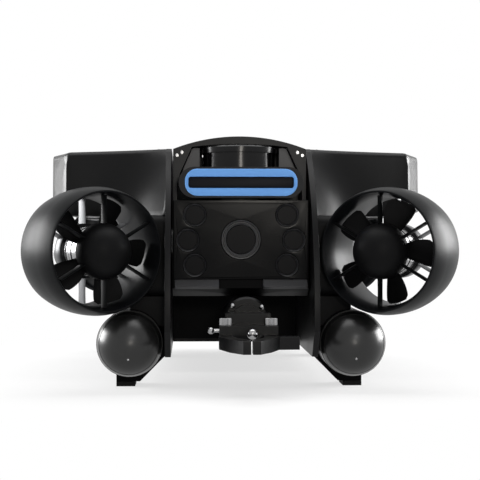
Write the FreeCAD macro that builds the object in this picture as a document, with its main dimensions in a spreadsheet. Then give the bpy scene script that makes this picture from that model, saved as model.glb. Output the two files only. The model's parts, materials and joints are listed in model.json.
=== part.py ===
import FreeCAD, Part
import Sketcher
import math
import os
import re

# Inspection vehicle for work under water: a frame of two upright side plates carries four toed
# ducted thrusters, two lift thrusters in the wings, two battery pods and a tool head that tilts.
# Millimetres, +Z up, the front faces -Y, the origin lies on the floor under the middle.

SIZES = {
    # frame
    "plate_inner": 70, "plate_thick": 6, "plate_low": 35, "plate_top": 241, "plate_flat": 120,
    "crest_y": 158, "crest_z": 247, "crest_bow": 190, "plate_nose": 264,
    "plate_knee": 62, "plate_toe": 240, "plate_radius": 155.9,
    "window_low": 84, "window_high": 150, "window_start": -34, "window_wide": 60,
    "window_pitch": 74, "window_corner": 14, "belly_top": 39, "saddle_half": 36,
    "saddle_top": 82, "saddle_thick": 8, "saddle_front": -14, "saddle_back": 166,
    "payload_x": 45, "payload_y": 90, "payload_step": 60, "payload_hole": 2.75,
    "bulkhead_front": 51, "bulkhead_back": 45,
    # cowl and tail
    "cowl_half": 69.8, "cowl_side": 240, "cowl_foot": 226, "cowl_bow": 352, "cowl_peak": 247,
    "cowl_in_half": 66.8, "cowl_in_side": 237, "cowl_in_bow": 340, "tail_start": 122,
    "tail_bow": 152.9, "tail_top": 237.9, "tail_low": 260.7, "tail_in_bow": 148.9,
    "tail_in_top": 233.9, "tail_in_low": 256.6,
    "eye_y": 60, "eye_z": 254, "eye_bore": 5.5, "eye_radius": 9.5, "eye_thick": 8,
    "tether_z": 150, "tether_bore": 4.5, "tether_end": 350, "boss_radius": 24,
    "boss_in": 240, "boss_out": 260, "plug_radius": 14, "collar_radius": 17, "relief_tip": 8,
    "flange_radius": 21, "flange_end": 266, "collar_end": 290, "plug_end": 312,
    "tether_in": 306, "grip_groove": 1.2,
    # inner hull and foam
    "hull_radius": 50, "hull_z": 112, "hull_front": -40, "hull_back": 200, "cap_radius": 54,
    "cap_thick": 6, "foam_top": 234, "foam_low": 166, "foam_half": 66, "foam_end": 118,
    # wings
    "wing_root": 76, "wing_fillet": 7, "foam_in": 84, "foam_out": 172, "foam_reach": 126,
    "foam_floor": 194, "foam_height": 232, "foam_gap": 2,
    # lift thrusters
    "lift_x": 134, "lift_wall": 44, "lift_bore": 41, "lift_low": 177, "lift_top": 238,
    "lift_hub": 15, "lift_tail": 11, "lift_floor": 202, "lift_ceiling": 215,
    "struts": 4, "strut_low": 190, "strut_high": 200, "lift_prop_low": 216, "lift_prop_high": 228,
    "lift_shaft_end": 204, "lift_tip": 39.5, "lift_blade_z": 220.8, "lift_blades": 3, "lift_root_half": 5,
    "lift_root_rise": 4.2, "lift_mid_half": 8, "lift_mid_rise": 3.6, "lift_tip_half": 7,
    "lift_tip_rise": 2.2, "tunnel_over": 20,
    # toed thrusters
    "duct_x": 130, "duct_y": 270, "duct_z": 140, "duct_yaw": 30, "duct_length": 75,
    "rim_radius": 59.2, "rim_bore": 57.2, "duct_max": 63.4, "duct_waist": 28,
    "throat_start": 24, "throat": 53.5, "duct_lip": 90, "tail_radius": 59, "tail_bore": 56,
    "duct_back_bow": 190, "nose_radius": 27.6, "nose_back": 11.5, "guard_root": 24.5, "guard_front": 2,
    "guard_back": 15, "guard_foot": 54, "guard_head": 56, "vane_thick": 2.6,
    "vane_sunk": 1, "vanes": 6, "prop_front": 16.5, "prop_back": 32, "prop_hub": 24,
    "prop_tip": 52.3, "prop_blade_z": 25.5, "prop_shaft_end": 44, "prop_blades": 5, "prop_root_half": 5.5,
    "prop_root_rise": 6, "prop_mid_half": 10, "prop_mid_rise": 5.4, "prop_tip_half": 8.4,
    "prop_tip_rise": 3.2, "blade_thick": 2.4, "blade_camber": 32,
    "motor_front": 33, "motor_back": 74, "motor_end": 84, "motor_step": 80,
    "motor_tip": 12, "motor_shoulder": 20, "motor_radius": 24.5, "groove_front": 42,
    "groove_back": 45, "groove_deep": 1.5, "shaft_floor": 47, "socket_radius": 27.5,
    "stator_front": 50, "stator_back": 66, "shaft_radius": 4, "run_gap": 0.06,
    "arm_out": 124, "arm_near": 196, "arm_far": 226, "arm_low": 94, "arm_high": 176, "arm_corner": 11,
    "core_gap": 3,
    # pods, legs and feet
    "pod_x": 111, "pod_z": 48.2, "pod_radius": 32.5, "pod_wall": 3, "pod_half": 235,
    "ring_from": 206, "ring_to": 209, "ring_deep": 0.8, "plug_deep": 10, "cell_radius": 27,
    "leg_y": 166, "leg_width": 34, "leg_half": 17, "leg_in": 76, "leg_crown": 88,
    "leg_hip": 103, "leg_hip_z": 72, "leg_ankle": 102.6, "foot_out": 127, "foot_in": 107.6,
    "foot_thick": 5, "leg_knee_z": 32, "leg_top": 92,
    # tool head, measured from its tilt axis
    "head_y": 165, "head_z": 150, "head_half": 68.6, "face_depth": 56, "face_thick": 4,
    "face_half": 67.6, "face_top": 41, "face_low": 38.5, "chin_edge": 47.5, "chin_front": 38,
    "chin_low": 56, "chin_back": 28, "head_back": 62, "back_half": 24, "crown_back": 44,
    "pivot_radius": 12, "pivot_end": 79, "tilt_motor_in": 22, "tilt_motor_radius": 19,
    "bearing_radius": 18, "lamp_radius": 9.4, "lamp_well": 11.6, "lamp_lip": 58,
    "lamp_face": 57, "lamp_near": 46.4, "lamp_far": 53.3, "lamp_high": 26, "lamp_mid": 0.8,
    "lamp_low": 24.3, "camera_well": 20, "camera_z": 1.5, "camera_glass": 14.3,
    "camera_back": 16, "bay_depth": 50, "bezel_step": 61, "bezel_lip": 62.6,
    "bezel_chamfer": 18.4, "bezel_inner": 15.5, "bumper_top": 38.7, "bumper_front": 69,
    "bumper_bend": 45.5, "bumper_edge": 65, "bumper_low": 48, "bumper_out": 66.5, "bumper_in": 22,
    # sonar
    "sonar_z": 58.5, "bezel_radius": 15.5, "bezel_half": 47, "blue_radius": 13.5,
    "blue_half": 42.7, "slot_radius": 5.5, "slot_half": 47, "bezel_front": 66,
    "bezel_back": 48, "ring_front": 68, "ring_back": 60, "window_face": 65, "puck_y": 8,
    "puck_radius": 37.5, "puck_top": 90.5, "lid_radius": 41, "lid_edge": 96,
    "lid_bevel": 38, "lid_top": 97.4, "neck_half": 30, "neck_low": 47, "neck_high": 70,
    "hood_half": 68.4, "hood_side": 94.5, "hood_bow": 186.4, "cheek": 64, "cheek_top": 58,
    "cheek_bend": 61, "cheek_bend_z": 70, "hood_in_half": 49, "hood_in_side": 96.5,
    "hood_in_bow": 400, "hood_depth": 28, "web_in": 38, "web_out": 67, "web_low": 90,
    "web_high": 99, "web_depth": 13, "web_thick": 3,
    # gripper, measured from the tilt axis and then from the gripper's own middle
    "grip_x": 5, "grip_z": 78, "can_radius": 22.5, "can_front": 74, "can_back": 14,
    "can_bevel": 2, "wrist_back": 74.4, "wrist_radius": 15, "wrist_front": 84,
    "stub_radius": 6, "stub_back": 60, "stub_floor": 59, "block_half": 22, "block_top": 8,
    "block_front": 105, "bar_half": 28, "bar_top": 3, "bar_low": 12, "bar_back": 88,
    "bar_front": 124, "pin_x": 22, "pin_y": 112, "pin_radius": 3, "knob_radius": 5.4,
    "knob_top": 4, "jaw_top": 12.5, "jaw_low": 25, "jaw_tip": 185, "jaw_flat": 169,
    "jaw_gap": 0.8, "jaw_bend": 150, "jaw_bow": 11, "jaw_heel": 126, "jaw_boss": 6.5,
    "jaw_out": 20, "jaw_out_y": 162, "jaw_point": 8, "hook_out": 48, "hook_root": 116,
    "hook_back": 120, "hook_front": 132, "hook_end": 134, "stud_x": 3, "stud_z": 10,
    "stud_ball": 5.2, "stud_reach": 131, "side_stud": 1.8, "side_ball": 3.4,
    "side_reach": 36, "side_stud_z": 8,
    # screws of the head
    "screw_ball": 2.8, "screw_ring": 19.6, "screw_depth": 75.6, "cap_screw": 1.7,
    "cap_screw_tall": 1.2, "cap_near_x": 64.4, "cap_near_z": 88, "cap_far_x": 59.4,
    "cap_far_z": 91,
}

# The wing's sections, from its root at the side plate to its end: distance out from the middle,
# half length along the bottom and along the top, height of the bottom and of the top.
WING_SECTIONS = [
    (76, 224, 158, 176, 247),
    (92, 193, 154, 176, 246.6),
    (118, 166, 151, 176, 245.8),
    (150, 155, 149, 176, 244.9),
    (188, 151, 148, 177, 243.8),
    (209, 104, 100, 182, 243.4),
]
for number, section in enumerate(WING_SECTIONS):
    for what, size in zip(("out", "low_reach", "top_reach", "low", "top"), section):
        SIZES[f"wing_{what}_{number}"] = size

doc = FreeCAD.newDocument("InspectionVehicle")
sheet = doc.addObject("Spreadsheet::Sheet", "Sizes")
for row, (alias, value) in enumerate(SIZES.items(), start=1):
    sheet.set(f"A{row}", alias)
    sheet.set(f"B{row}", str(value))
    sheet.setAlias(f"B{row}", alias)
doc.recompute()

PARTS = []
X_AXIS = FreeCAD.Vector(1, 0, 0)
Y_AXIS = FreeCAD.Vector(0, 1, 0)
Z_AXIS = FreeCAD.Vector(0, 0, 1)
NO_TURN = FreeCAD.Rotation()
ALONG_X = FreeCAD.Rotation(Y_AXIS, 90)
ALONG_Y = FreeCAD.Rotation(X_AXIS, -90)
HALF_TURN = FreeCAD.Rotation(Z_AXIS, 180)
SIDES = {"left": -1, "right": 1}


# ---- sizes as numbers and as expressions ---------------------------------------------------

def amount(text):
    """The number that a sum of sizes stands for, such as 'pod_radius - 2 * pod_wall'."""
    total = 0.0
    for sign, term in re.findall(r"([+-]?)([^+-]+)", str(text).replace(" ", "")):
        product = -1.0 if sign == "-" else 1.0
        for factor in term.split("*"):
            product *= SIZES[factor] if factor in SIZES else float(factor)
        total += product
    return total


def linked(text):
    """The same sum as an expression that reads the sheet."""
    return re.sub(r"[A-Za-z_]\w*", lambda word: "Sizes." + word.group(), str(text))


def bind(thing, **sizes):
    """Bind properties of an object to sums of sizes."""
    for name, text in sizes.items():
        thing.setExpression(name, linked(text))


def place(thing, spot, turn=NO_TURN):
    """Put an object at a spot whose three coordinates are bound to the sheet."""
    thing.Placement = FreeCAD.Placement(FreeCAD.Vector(*[amount(text) for text in spot]), turn)
    for axis, text in zip("xyz", spot):
        thing.setExpression(f"Placement.Base.{axis}", linked(text))
    return thing


def finish(thing, label):
    """Name a finished sub-part and keep it for export."""
    thing.Label = label
    PARTS.append(thing)
    return thing


# ---- primitives and booleans ---------------------------------------------------------------

def box(x_range, y_range, z_range):
    """A box between two limits on each axis."""
    thing = doc.addObject("Part::Box", "Block")
    limits = (x_range, y_range, z_range)
    for name, (low, high) in zip(("Length", "Width", "Height"), limits):
        setattr(thing, name, amount(high) - amount(low))
        bind(thing, **{name: f"({high}) - ({low})"})
    return place(thing, [low for low, high in limits])


def rod(radius, start, length, turn=NO_TURN):
    """A cylinder from a start point, along the axis that turn makes of +Z."""
    thing = doc.addObject("Part::Cylinder", "Rod")
    thing.Radius = amount(radius)
    thing.Height = amount(length)
    bind(thing, Radius=radius, Height=length)
    return place(thing, start, turn)


def ball(radius, centre, turn=NO_TURN):
    """A sphere, turned so that its seam lies clear of what joins it."""
    thing = doc.addObject("Part::Sphere", "Ball")
    thing.Radius = amount(radius)
    bind(thing, Radius=radius)
    return place(thing, centre, turn)


def cut(base, *tools):
    """The base with each tool taken away."""
    for tool in tools:
        result = doc.addObject("Part::Cut", "Cut")
        result.Base = base
        result.Tool = tool
        base = result
    return base


def join(*pieces):
    """Touching pieces as one solid."""
    thing = doc.addObject("Part::MultiFuse", "Join")
    thing.Shapes = list(pieces)
    thing.Refine = True
    return thing


def group(*pieces):
    """Separate solids in one node."""
    thing = doc.addObject("Part::Compound", "Group")
    thing.Links = list(pieces)
    return thing


# ---- bodies drawn with sketches ------------------------------------------------------------

def new_body():
    """An empty body."""
    return doc.addObject("PartDesign::Body", "Body")


def new_sketch(body, role, height="0"):
    """A sketch on one of its body's origin planes, raised along the plane's normal."""
    sketch = body.newObject("Sketcher::SketchObject", "Sketch")
    planes = [item for item in body.Origin.OriginFeatures if item.Role == role]
    sketch.AttachmentSupport = [(planes[0], "")]
    sketch.MapMode = "FlatFace"
    sketch.AttachmentOffset = FreeCAD.Placement(FreeCAD.Vector(0, 0, amount(height)), NO_TURN)
    sketch.setExpression("AttachmentOffset.Base.z", linked(height))
    return sketch


def fix_point(sketch, piece, vertex, spot):
    """Hold a vertex of a sketch at a spot by distances bound to the sheet."""
    for kind, axis, text in (("DistanceX", -2, spot[0]), ("DistanceY", -1, spot[1])):
        value = amount(text)
        if abs(value) < 1e-9:
            sketch.addConstraint(Sketcher.Constraint("PointOnObject", piece, vertex, axis))
        elif value > 0:
            rule = Sketcher.Constraint(kind, -1, 1, piece, vertex, value)
            index = sketch.addConstraint(rule)
            sketch.setExpression(f"Constraints[{index}]", linked(text))
        else:
            rule = Sketcher.Constraint(kind, piece, vertex, -1, 1, -value)
            index = sketch.addConstraint(rule)
            sketch.setExpression(f"Constraints[{index}]", f"-({linked(text)})")


def arc_between(start, end, radius):
    """The short arc from start to end: centre on the left for a positive radius."""
    chord = end - start
    height = math.sqrt(max(radius * radius - chord.Length * chord.Length / 4, 0.0))
    left = FreeCAD.Vector(-chord.y, chord.x, 0).normalize()
    centre = (start + end) * 0.5 + left * math.copysign(height, radius)
    first = math.atan2(start.y - centre.y, start.x - centre.x)
    last = math.atan2(end.y - centre.y, end.x - centre.x)
    if radius < 0:
        first, last = last, first
    return Part.ArcOfCircle(Part.Circle(centre, Z_AXIS, abs(radius)), first, last)


def hold_arc(sketch, piece, radius, chord):
    """Bind an arc's radius; a half circle is held by its centre, midway between its ends."""
    size = abs(amount(radius))
    if chord > 2 * size - 1e-6:
        sketch.addConstraint(Sketcher.Constraint("Symmetric", piece, 1, piece, 2, piece, 3))
    else:
        rule = sketch.addConstraint(Sketcher.Constraint("Radius", piece, size))
        sketch.setExpression(f"Constraints[{rule}]", linked(radius.lstrip("-")))


def outline(sketch, corners):
    """A closed outline. A corner is (x, y), or (x, y, radius) where an arc leads to the next."""
    base = sketch.GeometryCount
    spots = [FreeCAD.Vector(amount(c[0]), amount(c[1]), 0) for c in corners]
    ends = []
    for index, corner in enumerate(corners):
        after = spots[(index + 1) % len(spots)]
        if len(corner) == 3:
            radius = amount(corner[2])
            sketch.addGeometry(arc_between(spots[index], after, radius), False)
            ends.append((1, 2) if radius > 0 else (2, 1))
        else:
            sketch.addGeometry(Part.LineSegment(spots[index], after), False)
            ends.append((1, 2))
    for index, corner in enumerate(corners):
        after = (index + 1) % len(corners)
        joint = (base + index, ends[index][1], base + after, ends[after][0])
        sketch.addConstraint(Sketcher.Constraint("Coincident", *joint))
        fix_point(sketch, base + index, ends[index][0], corner)
        if len(corner) == 3:
            hold_arc(sketch, base + index, corner[2], (spots[after] - spots[index]).Length)
    return sketch


def feature(body, kind, sketch, **sizes):
    """A sketch-based feature on a body."""
    thing = body.newObject(f"PartDesign::{kind}", kind)
    thing.Profile = sketch
    for name, text in sizes.items():
        setattr(thing, name, amount(text))
    bind(thing, **sizes)
    return thing


def pad(body, role, corners, length, height="0", both_ways=False, holes=()):
    """A closed outline pushed out of a plane, with holes that are outlines too."""
    sketch = outline(new_sketch(body, role, height), corners)
    for hole in holes:
        outline(sketch, hole)
    thing = feature(body, "Pad", sketch, Length=length)
    thing.Midplane = both_ways
    return thing


def rounded(low, high, bottom, top, corner):
    """A rectangle between two limits each way, with rounded corners."""
    return [(f"{low} + {corner}", bottom), (f"{high} - {corner}", bottom, corner),
            (high, f"{bottom} + {corner}"), (high, f"{top} - {corner}", corner),
            (f"{high} - {corner}", top), (f"{low} + {corner}", top, corner),
            (low, f"{top} - {corner}"), (low, f"{bottom} + {corner}", corner)]


def revolve(body, corners):
    """An outline of (radius, height) corners turned about the body's own Z axis."""
    sketch = outline(new_sketch(body, "XZ_Plane"), corners)
    thing = body.newObject("PartDesign::Revolution", "Revolution")
    thing.Profile = sketch
    thing.ReferenceAxis = (sketch, ["V_Axis"])
    thing.Angle = 360
    return thing


def around(body, original, count):
    """A feature repeated about the body's own Z axis."""
    pattern = body.newObject("PartDesign::PolarPattern", "PolarPattern")
    pattern.Originals = [original]
    axes = [item for item in body.Origin.OriginFeatures if item.Role == "Z_Axis"]
    pattern.Axis = (axes[0], [""])
    pattern.Angle = 360
    pattern.Occurrences = SIZES[count]
    bind(pattern, Occurrences=count)
    body.Tip = pattern
    return pattern


def turned(corners, spot=("0", "0", "0"), turn=NO_TURN):
    """A round solid from (radius, height) corners, placed in one go."""
    body = new_body()
    revolve(body, corners)
    return place(body, spot, turn)


def flip(side, text):
    """A sum of sizes, or its negative on the left or front side of the middle."""
    if side > 0:
        return text
    terms = re.findall(r"([+-]?)\s*([^+-]+)", text)
    return " ".join(("+ " if sign == "-" else "- ") + term.strip() for sign, term in terms)


def mirrored(side, corners):
    """Corners on either side of the middle; their arcs bulge the same way on both."""
    if side > 0:
        return corners
    return [(flip(-1, corner[0]), corner[1]) + tuple(flip(-1, radius) for radius in corner[2:])
            for corner in corners]


def span(side, low, high):
    """A range on either side of the middle, low limit first."""
    return (flip(side, high), flip(side, low)) if side < 0 else (low, high)


# ---- frame -----------------------------------------------------------------------------------

def make_side_plate(side):
    """Upright plate that carries everything: three windows and a bore for a pivot bearing."""
    body = new_body()
    low = "plate_inner" if side > 0 else "-plate_inner - plate_thick"
    corners = [("-crest_y", "crest_z", "crest_bow"), ("-plate_nose", "plate_knee"),
               ("-plate_toe", "plate_low"), ("plate_toe", "plate_low"),
               ("plate_nose", "plate_knee", "plate_radius"), ("plate_flat", "plate_top")]
    windows = []
    for step in range(3):
        near = f"window_start + {step} * window_pitch"
        windows.append(rounded(near, f"{near} + window_wide", "window_low", "window_high",
                               "window_corner"))
    pad(body, "YZ_Plane", corners, "plate_thick", low, holes=windows)
    bore = rod("bearing_radius", (low, "-head_y", "head_z"), "plate_thick", ALONG_X)
    return cut(body, bore)


def make_bearings():
    """Plain bearing rings pressed into the two side plates."""
    rings = []
    for side in SIDES.values():
        start = ("plate_inner" if side > 0 else "-plate_inner - plate_thick", "-head_y", "head_z")
        ring = rod("bearing_radius", start, "plate_thick", ALONG_X)
        rings.append(cut(ring, rod("pivot_radius + run_gap", start, "plate_thick", ALONG_X)))
    return group(*rings)


def make_cowl():
    """Arched cover between the side plates, behind the tool head."""
    body = new_body()
    corners = [("-cowl_half", "cowl_foot"), ("-cowl_in_half", "cowl_foot"),
               ("-cowl_in_half", "cowl_in_side", "-cowl_in_bow"), ("cowl_in_half", "cowl_in_side"),
               ("cowl_in_half", "cowl_foot"), ("cowl_half", "cowl_foot"),
               ("cowl_half", "cowl_side", "cowl_bow"), ("-cowl_half", "cowl_side")]
    pad(body, "XZ_Plane", corners, "tail_start + bulkhead_front", "-tail_start")
    return body


def make_tail():
    """Curved rear cover between the side plates, with the boss of the tether connector."""
    body = new_body()
    corners = [("tail_in_low", "plate_knee"), ("tail_low", "plate_knee", "tail_bow"),
               ("tail_start", "tail_top"), ("tail_start", "tail_in_top", "-tail_in_bow")]
    pad(body, "YZ_Plane", corners, "2 * cowl_half", both_ways=True)
    start = ("0", "boss_in", "tether_z")
    boss = rod("boss_radius", start, "boss_out - boss_in", ALONG_Y)
    bore = rod("plug_radius", start, "boss_out - boss_in", ALONG_Y)
    return cut(join(body, boss), bore)


def make_tether_connector():
    """Flanged connector with a collar and a strain relief whose mouth takes the tether."""
    corners = [("0", "boss_in"), ("plug_radius", "boss_in"), ("plug_radius", "boss_out"),
               ("flange_radius", "boss_out"), ("flange_radius", "flange_end"),
               ("collar_radius", "flange_end"), ("collar_radius", "collar_end"),
               ("plug_radius", "collar_end"), ("plug_radius", "collar_end + 6"),
               ("plug_radius - grip_groove", "collar_end + 6"),
               ("plug_radius - grip_groove", "collar_end + 9"),
               ("plug_radius", "collar_end + 9"), ("plug_radius", "plug_end"),
               ("relief_tip", "tether_end"), ("tether_bore", "tether_end"),
               ("tether_bore", "tether_in"), ("0", "tether_in")]
    return turned(corners, ("0", "0", "tether_z"), ALONG_Y)


def make_lifting_eye():
    """Flat eye on top of the cowl for a lifting line."""
    body = new_body()
    corners = [("eye_y + eye_radius", "cowl_peak"), ("eye_y + eye_radius", "eye_z", "eye_radius"),
               ("eye_y - eye_radius", "eye_z"), ("eye_y - eye_radius", "cowl_peak")]
    pad(body, "YZ_Plane", corners, "eye_thick", both_ways=True)
    start = ("-eye_thick", "eye_y", "eye_z")
    return cut(body, rod("eye_bore", start, "2 * eye_thick", ALONG_X))


def make_electronics_hull():
    """Sealed cylinder for the electronics, with an end flange front and back."""
    corners = [("0", "hull_front"), ("cap_radius", "hull_front"),
               ("cap_radius", "hull_front + cap_thick"), ("hull_radius", "hull_front + cap_thick"),
               ("hull_radius", "hull_back - cap_thick"), ("cap_radius", "hull_back - cap_thick"),
               ("cap_radius", "hull_back"), ("0", "hull_back")]
    return turned(corners, ("0", "0", "hull_z"), ALONG_Y)


finish(make_side_plate(-1), "side_plate_left")
finish(make_side_plate(1), "side_plate_right")
finish(make_bearings(), "pivot_bearings")
bulkhead_z = ("belly_top", "cowl_foot")
inside = ("-plate_inner", "plate_inner")
bulkhead_y = ("-bulkhead_front", "-bulkhead_back")
bulkhead = join(box(inside, bulkhead_y, bulkhead_z),
                box(("-cowl_in_half", "cowl_in_half"), bulkhead_y, ("cowl_foot", "cowl_in_side")))
finish(bulkhead, "front_bulkhead")


def make_belly_pan():
    """Floor plate with four holes for a payload and two saddles for the electronics hull."""
    pan = [box(inside, ("-bulkhead_back", "plate_toe"), ("plate_low", "belly_top"))]
    for near in ("saddle_front", "saddle_back"):
        block = box(("-saddle_half", "saddle_half"), (near, f"{near} + saddle_thick"),
                    ("belly_top", "saddle_top"))
        pan.append(cut(block, rod("hull_radius", ("0", near, "hull_z"), "saddle_thick", ALONG_Y)))
    holes = [rod("payload_hole", (flip(side, "payload_x"), f"payload_y {sign} payload_step",
                                  "plate_low"), "belly_top - plate_low")
             for side in SIDES.values() for sign in "+-"]
    return cut(join(*pan), *holes)


finish(make_belly_pan(), "belly_pan")
finish(make_cowl(), "top_cowl")
finish(make_tail(), "tail_cover")
finish(make_tether_connector(), "tether_connector")
finish(make_lifting_eye(), "lifting_eye")
finish(make_electronics_hull(), "electronics_hull")


# ---- wings and lift thrusters ------------------------------------------------------------------

def round_edges(body, radius, wanted):
    """Fillet the edges of a body's last feature that the wanted test picks."""
    doc.recompute()
    base = body.Tip
    names = [f"Edge{number}" for number, edge in enumerate(base.Shape.Edges, start=1)
             if wanted(edge.BoundBox)]
    fillet = body.newObject("PartDesign::Fillet", "Fillet")
    fillet.Base = (base, names)
    fillet.Radius = amount(radius)
    bind(fillet, Radius=radius)
    body.Tip = fillet
    return fillet


def make_wing(side):
    """Moulded wing: a loft from the side plate outwards that sweeps back round the thrusters."""
    body = new_body()
    profiles = []
    for number in range(len(WING_SECTIONS)):
        sketch = new_sketch(body, "YZ_Plane", flip(side, f"wing_out_{number}"))
        profiles.append(outline(sketch, [
            (f"-wing_top_reach_{number}", f"wing_top_{number}"),
            (f"-wing_low_reach_{number}", f"wing_low_{number}"),
            (f"wing_low_reach_{number}", f"wing_low_{number}"),
            (f"wing_top_reach_{number}", f"wing_top_{number}")]))
    for first, last, straight in ((0, 4, False), (4, 5, True)):
        loft = body.newObject("PartDesign::AdditiveLoft", "AdditiveLoft")
        loft.Profile = profiles[first]
        loft.Sections = profiles[first + 1:last + 1]
        loft.Ruled = straight
    round_edges(body, "wing_fillet", lambda limits: limits.XLength > 5 and limits.ZMin > 220)
    return body


def lift_bore(side, radius):
    """A cylinder on the axis of a lift thruster, longer than the wing is thick."""
    return rod(radius, (flip(side, "lift_x"), "0", "lift_low - tunnel_over"),
               "lift_top - lift_low + 2 * tunnel_over")


def make_wing_foam(side):
    """Foam block sealed inside the wing around its lift tunnel."""
    block = box(span(side, "foam_in", "foam_out"), ("-foam_reach", "foam_reach"),
                ("foam_floor", "foam_height"))
    return cut(block, lift_bore(side, "lift_wall + foam_gap"))


def make_lift_tunnel(side):
    """Tunnel ring of a lift thruster with the motor can on four struts."""
    body = new_body()
    revolve(body, [("lift_bore", "lift_low"), ("lift_wall", "lift_low"), ("lift_wall", "lift_top"),
                   ("lift_bore", "lift_top")])
    strut = [("lift_hub - vane_sunk", "strut_low"), ("lift_bore + vane_sunk", "strut_low"),
             ("lift_bore + vane_sunk", "strut_high"), ("lift_hub - vane_sunk", "strut_high")]
    around(body, pad(body, "XZ_Plane", strut, "vane_thick", both_ways=True), "struts")
    return place(body, (flip(side, "lift_x"), "0", "0"))


def make_lift_motor(side):
    """Motor can of a lift thruster, held by the struts, with a bore for the shaft."""
    spot = (flip(side, "lift_x"), "0", "0")
    corners = [("0", "lift_low"), ("lift_tail", "lift_low"),
               ("lift_hub", "lift_low + lift_hub - lift_tail"), ("lift_hub", "lift_ceiling"),
               ("shaft_radius + run_gap", "lift_ceiling"),
               ("shaft_radius + run_gap", "lift_floor"), ("0", "lift_floor")]
    return turned(corners, spot)


def blade_section(body, distance, half, rise, middle):
    """A cambered blade section: half its width, half its rise along the shaft, and its middle."""
    low = f"{middle} - {rise}"
    high = f"{middle} + {rise}"
    return outline(new_sketch(body, "YZ_Plane", distance), [
        (f"-{half}", low, "-blade_camber"), (half, high), (half, f"{high} + blade_thick", "blade_camber"),
        (f"-{half}", f"{low} + blade_thick")])


def make_propeller(kind, low, high, shaft_end, middle, spot, turn):
    """Propeller on its own shaft: twisted, cambered blades lofted through three sections."""
    body = new_body()
    hub = f"{kind}_hub"
    far, near = (low, high) if amount(shaft_end) < amount(low) else (high, low)
    revolve(body, [("0", near), (hub, near), (hub, far), ("shaft_radius", far),
                   ("shaft_radius", shaft_end), ("0", shaft_end)])
    tip = f"{kind}_tip"
    spread = ((f"{hub} - vane_sunk", "root"), (f"0.5 * {hub} + 0.5 * {tip}", "mid"), (tip, "tip"))
    sections = [blade_section(body, out, f"{kind}_{where}_half", f"{kind}_{where}_rise", middle)
                for out, where in spread]
    blade = body.newObject("PartDesign::AdditiveLoft", "AdditiveLoft")
    blade.Profile = sections[0]
    blade.Sections = sections[1:]
    around(body, blade, f"{kind}_blades")
    return place(body, spot, turn)


for name, side in SIDES.items():
    shell = cut(make_wing(side), make_wing_foam(side), lift_bore(side, "lift_wall"))
    finish(shell, f"wing_shell_{name}")
hull_foam = box(("-foam_half", "foam_half"), ("hull_front", "foam_end"), ("foam_low", "foam_top"))
finish(group(hull_foam, make_wing_foam(-1), make_wing_foam(1)), "foam_blocks")
finish(group(make_lift_tunnel(-1), make_lift_tunnel(1)), "lift_tunnels")
finish(group(make_lift_motor(-1), make_lift_motor(1)), "lift_motors")
for name, side in SIDES.items():
    spot = (flip(side, "lift_x"), "0", "0")
    rotor = make_propeller("lift", "lift_prop_low", "lift_prop_high", "lift_shaft_end",
                           "lift_blade_z", spot, NO_TURN)
    finish(rotor, f"lift_propeller_{name}")


# ---- toed thrusters ------------------------------------------------------------------------------

def thruster_turn(side, end):
    """Rotation that points a thruster's +Z out of its mouth: forward and inboard, or its mirror."""
    yaw = math.radians(amount("duct_yaw"))
    mouth = FreeCAD.Vector(-side * math.sin(yaw), end * math.cos(yaw), 0)
    return FreeCAD.Rotation(Z_AXIS.cross(mouth), Z_AXIS, mouth, "ZYX")


def make_duct(side, spot, turn):
    """Duct with a socket for the motor on six stator vanes and an arm to the side plate."""
    body = new_body()
    revolve(body, [("rim_bore", "0", "duct_lip"), ("throat", "-throat_start"),
                   ("throat", "-stator_back"), ("tail_bore", "-duct_length"),
                   ("tail_radius", "-duct_length", "duct_back_bow"), ("duct_max", "-duct_waist", "duct_lip"),
                   ("rim_radius", "0")])
    socket = outline(new_sketch(body, "XZ_Plane"),
                     [("motor_radius + run_gap", "-stator_back"), ("socket_radius", "-stator_back"),
                      ("socket_radius", "-stator_front"), ("motor_radius + run_gap", "-stator_front")])
    ring = body.newObject("PartDesign::Revolution", "Revolution")
    ring.Profile = socket
    ring.ReferenceAxis = (socket, ["V_Axis"])
    ring.Angle = 360
    vane = [("socket_radius - vane_sunk", "-stator_back"), ("throat + vane_sunk", "-stator_back"),
            ("throat + vane_sunk", "-stator_front"),
            ("socket_radius - vane_sunk", "-stator_front")]
    around(body, pad(body, "YZ_Plane", vane, "vane_thick", both_ways=True), "vanes")
    return place(body, spot, turn)


def make_guard(spot, turn):
    """Domed nose on six thin vanes that keeps weed and fingers out of the duct."""
    body = new_body()
    revolve(body, [("0", "-guard_back"), ("nose_radius", "-guard_back"),
                   ("nose_radius", "-nose_back", "nose_radius"),
                   ("0", "nose_radius - nose_back")])
    vane = [("guard_root", "-guard_back"), ("guard_foot", "-guard_back"),
            ("guard_head", "-guard_front"), ("guard_root", "-guard_front")]
    around(body, pad(body, "YZ_Plane", vane, "vane_thick", both_ways=True), "vanes")
    return place(body, spot, turn)


def make_motor(spot, turn):
    """Motor can with a turned groove, a tapered tail and a bore for the shaft."""
    corners = [("0", "-motor_end"), ("motor_tip", "-motor_end"), ("motor_shoulder", "-motor_step"),
               ("motor_radius", "-motor_back"), ("motor_radius", "-groove_back"),
               ("motor_radius - groove_deep", "-groove_back"),
               ("motor_radius - groove_deep", "-groove_front"), ("motor_radius", "-groove_front"),
               ("motor_radius", "-motor_front"), ("shaft_radius + run_gap", "-motor_front"),
               ("shaft_radius + run_gap", "-shaft_floor"), ("0", "-shaft_floor")]
    return turned(corners, spot, turn)


def make_arm(side, end):
    """Tall bracket with rounded corners that bolts a duct to the outside of its side plate."""
    body = new_body()
    near, far = span(end, "arm_near", "arm_far")
    corners = rounded(near, far, "arm_low", "arm_high", "arm_corner")
    start = "wing_root" if side > 0 else "-arm_out"
    pad(body, "YZ_Plane", corners, "arm_out - wing_root", start)
    return body


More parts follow.
